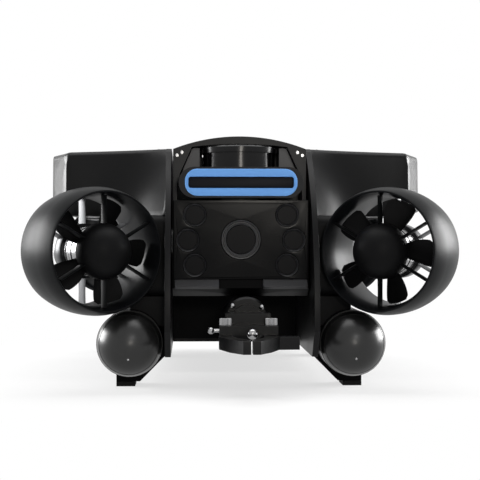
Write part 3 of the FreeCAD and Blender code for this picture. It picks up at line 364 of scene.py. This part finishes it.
def duct_shell():
    """The ring itself, with a rounded lip and a thin step behind the mouth."""
    profile = [(BORE + 0.9, 0.0), (BORE + 0.3, -0.3), (BORE, -1.0)]
    profile += bow((BORE - 0.2, -2.0), (THROAT, -WAIST + 4), LIP_BOW, 10)
    profile += [(THROAT, -STATOR_BACK)]
    profile += [(TAIL_BORE - 0.4, -LENGTH + 1.0), (TAIL_BORE + EDGE, -LENGTH),
                (TAIL - WIDE_EDGE, -LENGTH), (TAIL, -LENGTH + WIDE_EDGE)]
    profile += bow((TAIL + 0.12, -LENGTH + 1.5), (DUCT_MAX, -WAIST), BACK_BOW, 12)
    profile += bow((DUCT_MAX, -WAIST), (RIM + 0.15, -1.0), LIP_BOW, 12)[1:]
    profile += [(RIM - 0.2, -0.3), (RIM - 0.9, 0.0)]
    return lathe(profile, 160, closed=True)


def radial_vanes(inner, outer, chord, thick, depth):
    """Vanes from an inner to an outer radius, whose chords lie along Z."""
    rings = []
    for radius, scale in ((inner, 1.0), ((inner + outer) / 2, VANE_WAIST), (outer, 1.0)):
        rings.append([Vector((across, radius, along - depth)) * MM
                      for along, across in foil(chord * scale, thick)])
    return spun(loft(rings), VANES)


def stator():
    """The vanes behind the propeller with the socket that holds the motor."""
    vanes = radial_vanes(SOCKET - STATOR_SUNK, THROAT + STATOR_SUNK, STATOR_BACK - STATOR_FRONT,
                         STATOR_THICK, (STATOR_FRONT + STATOR_BACK) / 2)
    gap = MOTOR_RADIUS + SOCKET_GAP
    socket = lathe([(gap, -STATOR_BACK), (SOCKET - EDGE, -STATOR_BACK),
                    (SOCKET, -STATOR_BACK + WIDE_EDGE), (SOCKET, -STATOR_FRONT - WIDE_EDGE),
                    (SOCKET - EDGE, -STATOR_FRONT), (gap, -STATOR_FRONT)], 72, closed=True)
    return merged([vanes, socket])


def guard_nose():
    """The half ball in the middle of the mouth."""
    tip = (0.0, NOSE_RADIUS - NOSE_BACK)
    return lathe([tip] + bow(tip, (NOSE_RADIUS, -NOSE_BACK), -NOSE_RADIUS, 20)[1:]
                 + [(NOSE_RADIUS, -GUARD_BACK + EDGE), (NOSE_RADIUS - EDGE, -GUARD_BACK),
                    (0.0, -GUARD_BACK)])


def motor_can():
    """The stepped motor, its back end first."""
    profile = MOTOR_TAIL + [(MOTOR_RADIUS - 0.4, -MOTOR_BACK), (MOTOR_RADIUS, -MOTOR_BACK + EDGE)]
    for back, front, deep, slope in MOTOR_GROOVES:
        profile += [(MOTOR_RADIUS, -back), (MOTOR_RADIUS - deep, -back + slope),
                    (MOTOR_RADIUS - deep, -front - slope), (MOTOR_RADIUS, -front)]
    profile += [(MOTOR_RADIUS, -MOTOR_FRONT - 0.5), (MOTOR_RADIUS - 0.5, -MOTOR_FRONT),
                (0.0, -MOTOR_FRONT)]
    return lathe(profile)


def propeller_hub():
    """The plain drum that carries the blades."""
    return lathe([(0.0, -PROP_FRONT), (PROP_RADIUS - WIDE_EDGE, -PROP_FRONT),
                  (PROP_RADIUS, -PROP_FRONT - WIDE_EDGE), (PROP_RADIUS, -PROP_BACK + EDGE),
                  (PROP_RADIUS - EDGE, -PROP_BACK), (0.0, -PROP_BACK)])


def blade():
    """A twisted propeller blade along +X, wide and round towards its tip."""
    root = PROP_RADIUS - EDGE
    middle = -(PROP_FRONT + PROP_BACK) / 2
    rings = []
    for index in range(BLADE_STEPS + 1):
        at = index / BLADE_STEPS
        radius = root + (PROP_TIP - root) * at
        wide = BLADE_CHORD * (BLADE_ROOT_SHARE + BLADE_SWELL * at - BLADE_TAPER * at ** 3)
        if index == BLADE_STEPS:
            wide *= BLADE_TIP_SHARE
        angle = math.radians(BLADE_PITCH * (1.0 - BLADE_WASHOUT * at) + BLADE_SET)
        sweep = BLADE_SWEEP * at * at
        ring = []
        for along, across in foil(wide, BLADE_THICK - BLADE_THINNING * at):
            y = along * math.cos(angle) - across * math.sin(angle) - sweep
            z = along * math.sin(angle) + across * math.cos(angle)
            bend = math.sqrt(max(radius * radius - y * y, 0.0))
            ring.append(Vector((bend, y, middle + z)) * MM)
        rings.append(ring)
    return loft(rings)


def bolt_head(radius, height, z=0.0):
    """A domed bolt head on the Z axis, seated at z."""
    return lathe([(0, z + height)] + bow((0.0, z + height), (radius, z), -radius * BOLT_DOME, 5)[1:]
                 + [(radius, z - BOLT_SUNK), (0, z - BOLT_SUNK)], BOLT_STEPS)


def motor_bolts():
    """A ring of bolt heads on the motor's front."""
    head = bolt_head(MOTOR_BOLT, MOTOR_BOLT_HEIGHT, -MOTOR_FRONT)
    return spun(moved(head, Matrix.Translation((MOTOR_BOLT_RING * MM, 0, 0))), 6)


def thruster_matrix(joint):
    """The frame of a thruster: +Z out of its mouth, +Y up."""
    mouth = Vector(joint["axis"]).normalized()
    up = Vector((0, 0, 1))
    across = up.cross(mouth)
    turn = Matrix((across, up, mouth)).transposed().to_4x4()
    return Matrix.Translation(Vector(joint["pos_m"])) @ turn


def paint_bore_shade(shell, inside):
    """Give the faces that look at the duct's axis a darker finish: painted shade inside the bore."""
    shell.data.materials.append(BORE_SHADE)
    for polygon in shell.data.polygons:
        spot = inside @ polygon.center
        normal = inside.to_3x3() @ polygon.normal
        if normal.x * spot.x + normal.y * spot.y < BORE_SHADE_SLOPE * math.hypot(spot.x, spot.y):
            polygon.material_index = 1


def make_thruster(label, joint):
    """The visible pieces of one toed thruster."""
    matrix = thruster_matrix(joint)
    inside = matrix.inverted()

    def place(name, part, body, finish, replaced=(), sharp=40):
        return new_piece(f"{name}_{label}", moved(part, matrix), body, finish, replaced, sharp)

    shell = place("duct_shell", duct_shell(), "hull", DUCT, [f"duct_{label}"])
    paint_bore_shade(shell, inside)
    place("duct_vanes", stator(), "hull", VANE)
    make_arm(label, inside, joint)
    place("guard_nose", guard_nose(), "hull", NOSE, [f"inlet_guard_{label}"])
    place("guard_vanes", radial_vanes(GUARD_ROOT, THROAT + GUARD_SUNK, GUARD_CHORD, GUARD_THICK,
                                      GUARD_MIDDLE), "hull", DUCT)
    place("motor_can", motor_can(), "hull", STEEL, [f"motor_{label}"], 25)
    place("motor_bolts", motor_bolts(), "hull", STEEL)
    body = f"propeller_{label}"
    place("propeller_hub", propeller_hub(), body, STEEL, [body], 25)
    place("propeller_blades", spun(blade(), BLADES), body, NOSE)


OUTSIDE = (bow((TAIL, -LENGTH), (DUCT_MAX, -WAIST), BACK_BOW, 24)
           + bow((DUCT_MAX, -WAIST), (RIM, 0.0), LIP_BOW, 24)[1:])


def outer_radius(depth):
    """Outer radius of a duct at a depth behind its mouth."""
    return min(OUTSIDE, key=lambda spot: abs(spot[1] + depth))[0]


def arm_outline():
    """Heights of the bracket's outline with its near and far edge at each."""
    corner = []
    for index in range(ARM_CORNER_STEPS + 1):
        angle = math.radians(90 * index / ARM_CORNER_STEPS)
        inset = ARM_CORNER * (1 - math.sin(angle))
        corner.append((ARM_LOW + ARM_CORNER * (1 - math.cos(angle)), ARM_NEAR + inset,
                       ARM_FAR - inset))
    top = [(ARM_LOW + ARM_HIGH - up, near, far) for up, near, far in reversed(corner)]
    start, stop = corner[-1][0], top[0][0]
    straight = [(start + (stop - start) * index / ARM_ROWS, ARM_NEAR, ARM_FAR)
                for index in range(1, ARM_ROWS)]
    return corner + straight + top


def make_arm(label, inside, joint):
    """Tall bracket between a side plate and a duct, ending inside the duct's wall."""
    side = 1 if joint["pos_m"][0] > 0 else -1
    end = 1 if joint["pos_m"][1] > 0 else -1

    def reach(along, up):
        out = PLATE_OUT
        while out < ARM_OUT:
            spot = inside @ (Vector((side * out, end * along, up)) * MM) / MM
            if math.hypot(spot.x, spot.y) < outer_radius(-spot.z) - ARM_SUNK:
                break
            out += ARM_STEP
        return out

    rows = arm_outline()
    edge = [(far, up) for up, near, far in rows] + [(near, up) for up, near, far in reversed(rows)]
    ends = [reach(along, up) for along, up in edge]
    rings = []
    for share in (0.0, 0.5, 1.0):
        rings.append([Vector((side * (PLATE_OUT + (last - PLATE_OUT) * share), end * along, up)) * MM
                      for (along, up), last in zip(edge, ends)])
    points, faces = loft(rings, closed_ends=False)
    count = len(edge)
    # Each end is closed by strips across the bracket, because the end at the duct isn't flat.
    for base in (0, 2 * count):
        for index in range(len(rows) - 1):
            faces.append((base + index, base + index + 1, base + count - 2 - index,
                          base + count - 1 - index))
    new_piece(f"duct_arm_{label}", (points, faces), "hull", NOSE)


for a_joint in frame["joints"]:
    if a_joint["name"].startswith("spin_") and "lift" not in a_joint["name"]:
        make_thruster(a_joint["name"].removeprefix("spin_"), a_joint)


# ---- wings ---------------------------------------------------------------------------------------

# Distances out from the middle: where the wing's end starts, its edge and its end face.
WING_TRUE, WING_EDGE, WING_END, WING_EDGE_NEW, WING_END_NEW = 176.5, 188.0, 209.0, 181.8, 200.5


def pinched(out):
    """Distance out from the middle, in mm, with the wing's end drawn in."""
    if out <= WING_TRUE:
        return out
    if out <= WING_EDGE:
        return WING_TRUE + (out - WING_TRUE) * (WING_EDGE_NEW - WING_TRUE) / (WING_EDGE - WING_TRUE)
    return WING_EDGE_NEW + (out - WING_EDGE) * (WING_END_NEW - WING_EDGE_NEW) / (WING_END - WING_EDGE)


def make_wing(side_name):
    """The wing's skin from its CAD node's shape, with a shorter rounded end."""
    mesh = NODES[f"wing_shell_{side_name}"].data.copy()
    mesh.name = f"wing_skin_{side_name}"
    for vertex in mesh.vertices:
        vertex.co.x = math.copysign(pinched(abs(vertex.co.x) / MM) * MM, vertex.co.x)
    mesh.materials.clear()
    mesh.materials.append(WING)
    thing = bpy.data.objects.new(f"wing_skin_{side_name}", mesh)
    bpy.context.scene.collection.objects.link(thing)
    add_weld(thing)
    soften(thing, width=1.6 * MM, segments=3, angle=30)
    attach(thing, "hull")
    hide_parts(f"wing_shell_{side_name}")


for side, side_name in SIDES:
    make_wing(side_name)


# ---- pods ----------------------------------------------------------------------------------------

FRONT = Matrix(((1, 0, 0, 0), (0, 0, -1, 0), (0, 1, 0, 0), (0, 0, 0, 1)))
REAR = Matrix.Rotation(math.pi, 4, "Z") @ FRONT
POD_X, POD_Y, POD_Z, POD_RADIUS, POD_SUNK = 111.0, 235.0, 48.2, 32.5, 0.1
# Each band's first and last angle from the dome's rim, and how proud it stands.
POD_BANDS = ((1.0, 4.5, 0.35), (24.0, 26.0, 0.25))
BAND_SUNK, BAND_STEPS = 0.3, 4
POD_BOLT, POD_BOLT_HEIGHT, POD_BOLT_TILT = 1.3, 0.9, 24.0
SADDLE_LOW, SADDLE_HIGH, SADDLE_OUT, SADDLE_ENDS = 64.0, 95.0, 112.0, (198.0, 222.0)


def facing(x, y, z):
    """The frame of a turned piece at a spot in mm: its axis points to the nearer end."""
    return Matrix.Translation(Vector((x, y, z)) * MM) @ (FRONT if y < 0 else REAR)


def band(start, end, proud):
    """Thin raised band on a pod's dome between two angles from its rim."""
    angles = [math.radians(start + (end - start) * index / BAND_STEPS)
              for index in range(BAND_STEPS + 1)]
    low, high = POD_RADIUS - BAND_SUNK, POD_RADIUS + proud
    profile = [(low * math.cos(a), low * math.sin(a)) for a in angles]
    profile += [(high * math.cos(a), high * math.sin(a)) for a in reversed(angles)]
    return lathe(profile, closed=True)


def saddle_outline():
    """Outline of the block between a duct arm and a pod: distance out and height."""
    points = [(PLATE_OUT, SADDLE_LOW), (PLATE_OUT, SADDLE_HIGH), (SADDLE_OUT, SADDLE_HIGH)]
    radius = POD_RADIUS - POD_SUNK
    for degrees in range(90, 151, 6):
        angle = math.radians(degrees)
        points.append((POD_X + radius * math.cos(angle), POD_Z + radius * math.sin(angle)))
    return points


def dress_pod(side, end, label):
    """The bands, the bolt and the block of one end of a pod."""
    dome = facing(side * POD_X, end * POD_Y, POD_Z)
    bands = merged([band(*sizes) for sizes in POD_BANDS])
    new_piece(f"pod_bands_{label}", moved(bands, dome), "hull", POD, sharp=50)
    tilt = dome @ Matrix.Rotation(math.radians(POD_BOLT_TILT), 4, "X")
    head = bolt_head(POD_BOLT, POD_BOLT_HEIGHT, POD_RADIUS - POD_SUNK)
    new_piece(f"pod_bolt_{label}", moved(head, tilt), "hull", STEEL)
    block = loft([[Vector((side * out, end * y, up)) * MM for out, up in saddle_outline()]
                  for y in SADDLE_ENDS])
    soften(new_piece(f"pod_saddle_{label}", block, "hull", NOSE), 1.0 * MM)


for side, side_name in SIDES:
    for end, end_name in ENDS:
        dress_pod(side, end, f"{end_name}_{side_name}")


# ---- tool head -------------------------------------------------------------------------------------

PANEL_Y, LAMP_Z, CAMERA_Z = -225.0, 150.0, 151.5
LAMP_SPOTS = ((46.4, 26.0), (53.3, 0.8), (46.4, -24.3))
LAMP_RIM = [(11.55, -1.9), (11.55, 0.25), (11.2, 0.6), (10.6, 0.2), (9.7, -1.5), (9.5, -1.9)]
CAMERA_RINGS = [(14.5, -8.0), (14.5, -0.8), (15.2, 0.3), (16.5, 0.8), (17.0, 0.3), (17.5, 0.3),
                (18.0, 1.7), (18.4, 2.5), (19.3, 2.6), (19.9, 1.9), (19.9, -8.0)]
# The sonar's frame and face, as half width, half height, corner and depth of each outline.
SONAR_Z = 208.5
SONAR_FRAME = ((56.2, 13.5, 12.4, -225.0), (56.2, 13.5, 12.4, -232.4), (55.6, 12.9, 11.8, -233.0),
               (53.3, 6.3, 3.0, -233.0), (52.7, 5.7, 2.6, -232.4), (52.7, 5.7, 2.6, -225.0))
SONAR_WINDOW = ((52.7, 5.7, 2.6, -225.2), (52.7, 5.7, 2.6, -229.6), (52.2, 5.2, 2.2, -230.0))
CORNER_STEPS = 8
LINER_OUTLINE = [(40.9, 219.0), (59.6, 219.0), (57.6, 226.0), (48.8, 245.4), (46.0, 246.2),
                 (40.9, 246.2)]
LINER_FACES = (-183.6, -182.0)


def rounded_box(half_wide, half_high, corner, depth):
    """Outline of a box with rounded corners, at a depth in the head about the sonar's middle."""
    points = []
    for sign_x, sign_z, start in ((1, 1, 0), (-1, 1, 90), (-1, -1, 180), (1, -1, 270)):
        for index in range(CORNER_STEPS + 1):
            angle = math.radians(start + 90 * index / CORNER_STEPS)
            across = sign_x * (half_wide - corner) + corner * math.cos(angle)
            up = sign_z * (half_high - corner) + corner * math.sin(angle)
            points.append(Vector((across, depth, SONAR_Z + up)) * MM)
    return points


rim = lathe(LAMP_RIM, 64, closed=True)
rims = [moved(rim, facing(side * across, PANEL_Y, LAMP_Z + up))
        for side, side_name in SIDES for across, up in LAMP_SPOTS]
new_piece("lamp_rims", merged(rims), "head", RING, sharp=60)

rings = moved(lathe(CAMERA_RINGS, closed=True), facing(0.0, PANEL_Y, CAMERA_Z))
new_piece("camera_rings", rings, "head", RING, ["camera_bezel"], 30)

hoop = [rounded_box(*sizes) for sizes in SONAR_FRAME]
new_piece("sonar_frame", loft(hoop + hoop[:1], closed_ends=False), "head", BLUE, ["sonar_ring"], 60)
face = loft([rounded_box(*sizes) for sizes in SONAR_WINDOW])
new_piece("sonar_face", face, "head", SONAR_FACE, ["sonar_window"], 60)

# The cheek sheets carry a grey raised as painted light on faces that sit in shade.
for side, side_name in SIDES:
    sheet = loft([[Vector((side * out, y, up)) * MM for out, up in LINER_OUTLINE]
                  for y in LINER_FACES])
    soften(new_piece(f"hood_liner_{side_name}", sheet, "head", LINER_PAINTED_LIGHT), 0.4 * MM)


# ---- bolts -----------------------------------------------------------------------------------------

UPWARD = Matrix.Identity(4)
WING_BOLT_X, WING_BOLT_Z, WING_BOLT_Y = 84.0, 246.7, (-146.0, -88.0, -30.0, 30.0, 88.0, 146.0)
COWL_BOLT_X, COWL_BOLT_Z, COWL_BOLT_Y = 62.0, 241.4, (-40.0, 14.0, 66.0, 110.0)
PIVOT_Y, PIVOT_Z, PIVOT_RING, PIVOT_BOLTS = -165.0, 150.0, 15.2, 6
PLATE_BOLTS = ((-92.0, 60.0), (-36.0, 60.0), (36.0, 60.0), (92.0, 60.0), (-92.0, 166.0),
               (0.0, 166.0), (92.0, 166.0))


def bolt_set(name, spots, turn, radius, height):
    """Domed bolt heads on the hull at spots in mm, all facing one way."""
    head = bolt_head(radius, height)
    heads = [moved(head, Matrix.Translation(Vector(spot) * MM) @ turn) for spot in spots]
    new_piece(name, merged(heads), "hull", STEEL)


for side, side_name in SIDES:
    outward = Matrix.Rotation(side * math.pi / 2, 4, "Y")
    angles = [2 * math.pi * index / PIVOT_BOLTS for index in range(PIVOT_BOLTS)]
    ring = [(side * PLATE_OUT, PIVOT_Y + PIVOT_RING * math.cos(angle),
             PIVOT_Z + PIVOT_RING * math.sin(angle)) for angle in angles]
    bolt_set(f"wing_bolts_{side_name}", [(side * WING_BOLT_X, y, WING_BOLT_Z) for y in WING_BOLT_Y],
             UPWARD, radius=2.2, height=0.9)
    bolt_set(f"cowl_bolts_{side_name}", [(side * COWL_BOLT_X, y, COWL_BOLT_Z) for y in COWL_BOLT_Y],
             UPWARD, radius=1.8, height=0.8)
    bolt_set(f"pivot_bolts_{side_name}", ring, outward, radius=1.5, height=0.8)
    bolt_set(f"plate_bolts_{side_name}", [(side * PLATE_OUT, y, z) for y, z in PLATE_BOLTS],
             outward, radius=2.4, height=1.0)


# ---- gripper ---------------------------------------------------------------------------------------

GRIP_X, PIN_X, PIN_Y, KNOB_LOW, KNOB_HIGH = 5.0, 22.0, -277.0, 68.8, 76.0
KNURL_CREST, KNURL_ROOT, KNURLS, KNURL_EDGE = 5.9, 5.45, 26, 0.5


def knurled_knob():
    """A knurled collar about the Z axis, at the height of the jaw pins' heads."""
    rings = []
    for height, shrink in ((KNOB_LOW, KNURL_EDGE), (KNOB_LOW + KNURL_EDGE, 0.0),
                           (KNOB_HIGH - KNURL_EDGE, 0.0), (KNOB_HIGH, KNURL_EDGE)):
        ring = []
        for index in range(2 * KNURLS):
            angle = math.pi * index / KNURLS
            radius = (KNURL_CREST if index % 2 else KNURL_ROOT) - shrink
            ring.append(Vector((radius * math.cos(angle), radius * math.sin(angle), height)) * MM)
        rings.append(ring)
    return loft(rings)


for side, side_name in SIDES:
    shift = Matrix.Translation(Vector((GRIP_X + side * PIN_X, PIN_Y, 0.0)) * MM)
    new_piece(f"pin_knob_{side_name}", moved(knurled_knob(), shift), "wrist", STEEL, sharp=20)


# ---- stage, lights and camera ----------------------------------------------------------------

FLOOR_REACH = 40.0
FLOOR_GREY = 0.88
FADE_NEAR, FADE_FAR, GLOW_NEAR, GLOW_FAR = 0.25, 0.48, 0.68, 1.0
WORLD_GREY, WORLD_STRENGTH = 0.5, 0.3
AIM = Vector((-0.0006, -0.215, 0.151))
CAMERA_DISTANCE = 1.5
CAMERA_AZIMUTH = math.radians(-2.0)


def calculated(tree, operation, first, second):
    """The result of a math node on two sockets."""
    both = tree.nodes.new("ShaderNodeMath")
    both.operation = operation
    tree.links.new(first, both.inputs[0])
    tree.links.new(second, both.inputs[1])
    return both.outputs[0]


def blended(tree, share, first, second, output):
    """Mix two shaders by a share and link the result to a tree's output."""
    blend = tree.nodes.new("ShaderNodeMixShader")
    tree.links.new(share, blend.inputs["Fac"])
    tree.links.new(first, blend.inputs[1])
    tree.links.new(second, blend.inputs[2])
    tree.links.new(blend.outputs["Shader"], tree.nodes[output].inputs["Surface"])


def white_to_eye(tree):
    """1 for camera, glossy and transmission rays, else 0."""
    path = tree.nodes.new("ShaderNodeLightPath")
    total = path.outputs["Is Camera Ray"]
    for kind in ("Is Glossy Ray", "Is Transmission Ray"):
        total = calculated(tree, "MAXIMUM", total, path.outputs[kind])
    return total


def floor_material():
    """Pale floor that keeps the shadow near the object and is white further out."""
    material = bpy.data.materials.new("floor_pale")
    material.use_nodes = True
    tree = material.node_tree
    shader = tree.nodes["Principled BSDF"]
    shader.inputs["Base Color"].default_value = (FLOOR_GREY, FLOOR_GREY, FLOOR_GREY, 1.0)
    shader.inputs["Roughness"].default_value = 0.9
    shader.inputs["Specular IOR Level"].default_value = 0.0
    place = tree.nodes.new("ShaderNodeTexCoord")
    reach = tree.nodes.new("ShaderNodeVectorMath")
    reach.operation = "LENGTH"
    tree.links.new(place.outputs["Object"], reach.inputs[0])
    fade = tree.nodes.new("ShaderNodeMapRange")
    fade.interpolation_type = "SMOOTHSTEP"
    fade.inputs["From Min"].default_value = FADE_NEAR
    fade.inputs["From Max"].default_value = FADE_FAR
    fade.inputs["To Min"].default_value = GLOW_NEAR
    fade.inputs["To Max"].default_value = GLOW_FAR
    tree.links.new(reach.outputs["Value"], fade.inputs["Value"])
    share = calculated(tree, "MULTIPLY", fade.outputs["Result"], white_to_eye(tree))
    glow = tree.nodes.new("ShaderNodeEmission")
    glow.inputs["Strength"].default_value = 1.0
    blended(tree, share, shader.outputs["BSDF"], glow.outputs["Emission"], "Material Output")
    return material


def make_floor():
    """The floor under the vehicle, which belongs to the stage and not to the part."""
    mesh = bpy.data.meshes.new("floor")
    corners = [(x * FLOOR_REACH, y * FLOOR_REACH, 0) for x, y in ((-1, -1), (1, -1), (1, 1), (-1, 1))]
    mesh.from_pydata(corners, [], [(0, 1, 2, 3)])
    floor = bpy.data.objects.new("floor", mesh)
    bpy.context.scene.collection.objects.link(floor)
    floor.data.materials.append(floor_material())


def make_world():
    """Dim grey light from all round, and white to the camera and to mirror rays."""
    world = bpy.data.worlds.new("world")
    bpy.context.scene.world = world
    world.use_nodes = True
    tree = world.node_tree
    dim = tree.nodes["Background"]
    dim.inputs["Color"].default_value = (WORLD_GREY, WORLD_GREY, WORLD_GREY, 1.0)
    dim.inputs["Strength"].default_value = WORLD_STRENGTH
    clear = tree.nodes.new("ShaderNodeBackground")
    clear.inputs["Color"].default_value = (1.0, 1.0, 1.0, 1.0)
    clear.inputs["Strength"].default_value = 1.0
    blended(tree, white_to_eye(tree), dim.outputs["Background"], clear.outputs["Background"],
            "World Output")


def look(thing, spot, aim):
    """Put a lamp or the camera at a spot and turn it to a point."""
    bpy.context.scene.collection.objects.link(thing)
    thing.location = spot
    thing.rotation_euler = (Vector(aim) - Vector(spot)).to_track_quat("-Z", "Y").to_euler()


def area_light(name, spot, aim, size, power, colour=(1.0, 1.0, 1.0)):
    """A rectangular soft lamp that looks at a point."""
    lamp = bpy.data.lights.new(name, "AREA")
    lamp.shape = "RECTANGLE"
    lamp.size, lamp.size_y = size
    lamp.energy = power
    lamp.color = colour
    look(bpy.data.objects.new(name, lamp), spot, aim)


def make_camera():
    """The camera in front of the vehicle, turned a little towards its left pieces."""
    data = bpy.data.cameras.new("camera")
    data.sensor_width = 36.0
    data.lens = 95.4
    camera = bpy.data.objects.new("camera", data)
    look(camera, Vector((math.sin(CAMERA_AZIMUTH) * CAMERA_DISTANCE,
                         -math.cos(CAMERA_AZIMUTH) * CAMERA_DISTANCE, AIM.z)), AIM)
    bpy.context.scene.camera = camera


make_floor()
make_world()
area_light("key_top", (0.0, -0.1, 2.2), (0, 0, 0.15), (2.2, 1.6), 34)
area_light("side_left", (-1.6, 0.5, 0.5), (0, 0, 0.16), (1.2, 0.7), 50)
area_light("side_right", (1.6, 0.5, 0.5), (0, 0, 0.16), (1.2, 0.7), 50)
area_light("fill_front", (0.35, -2.3, 1.1), (0, -0.2, 0.15), (0.5, 0.4), 4)
area_light("low_front", (0.13, -2.1, 0.36), (0, -0.2, 0.15), (0.16, 0.14), 4.0, (1.0, 0.95, 0.87))
make_camera()
bpy.context.scene.view_settings.view_transform = "Standard"
